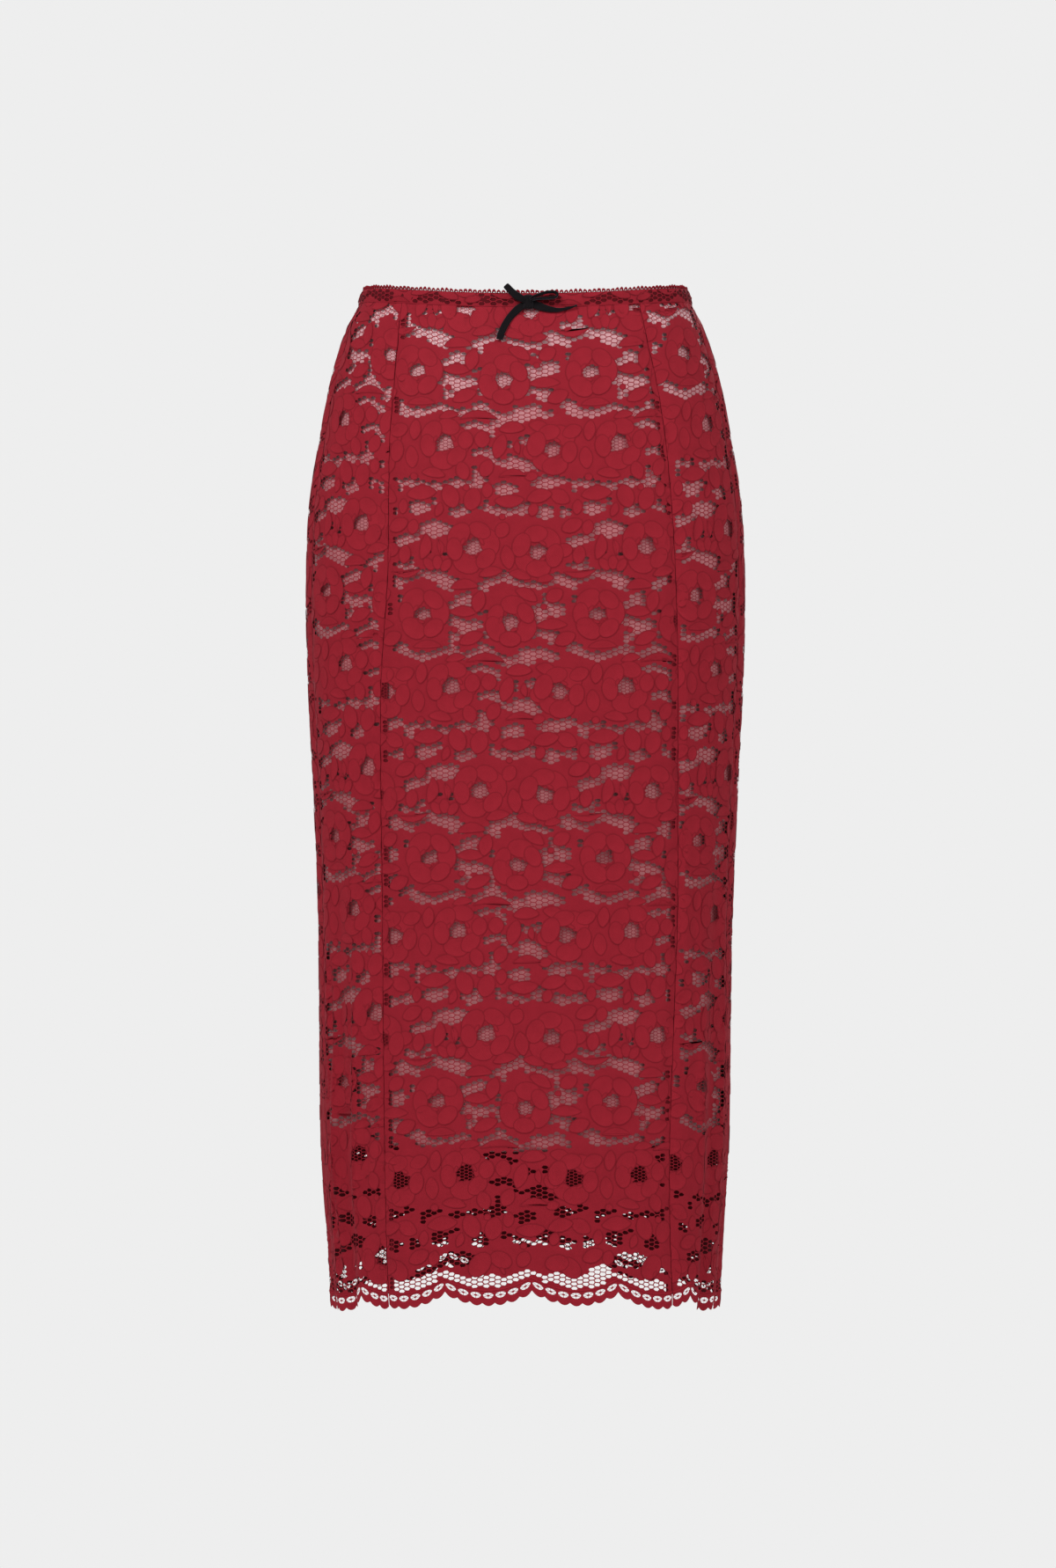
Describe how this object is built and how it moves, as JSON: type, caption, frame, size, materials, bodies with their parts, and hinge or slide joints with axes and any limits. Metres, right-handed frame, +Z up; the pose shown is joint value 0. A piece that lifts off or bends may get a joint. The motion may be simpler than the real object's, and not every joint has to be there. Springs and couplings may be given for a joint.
{
  "type": "lace pencil skirt",
  "caption": "Knee-length pencil skirt of floral net lace over a shorter plain lining, with princess seams, a narrow picot waistband, a small ribbon bow and a scalloped hem.",
  "frame": {"origin": "the middle of the waist, level with the top of the waistband at the sides, where the wearer's waist holds the skirt", "axes": "+Z up, the front of the skirt faces -Y, +X to the right of someone looking at the front"},
  "size_m": [0.331, 0.2333, 0.7695],
  "materials": {
    "lace": "dark red floral lace, matt with a slight sheen",
    "lining": "plain dusty rose lining, soft satin",
    "waistband": "dark red folded lace casing, matt",
    "picot": "dark red looped thread",
    "velvet": "black velvet ribbon"
  },
  "bodies": {
    "root": {"front_centre": "lace", "side_front_right": "lace", "side_front_left": "lace", "back_panel": "lace", "lining_front": "lining", "lining_back": "lining", "waistband": "waistband", "picot_edge": "picot", "bow_knot": "velvet", "bow_loop_left": "velvet", "bow_loop_right": "velvet", "bow_tail_left": "velvet", "bow_tail_right": "velvet"}
  },
  "joints": []
}
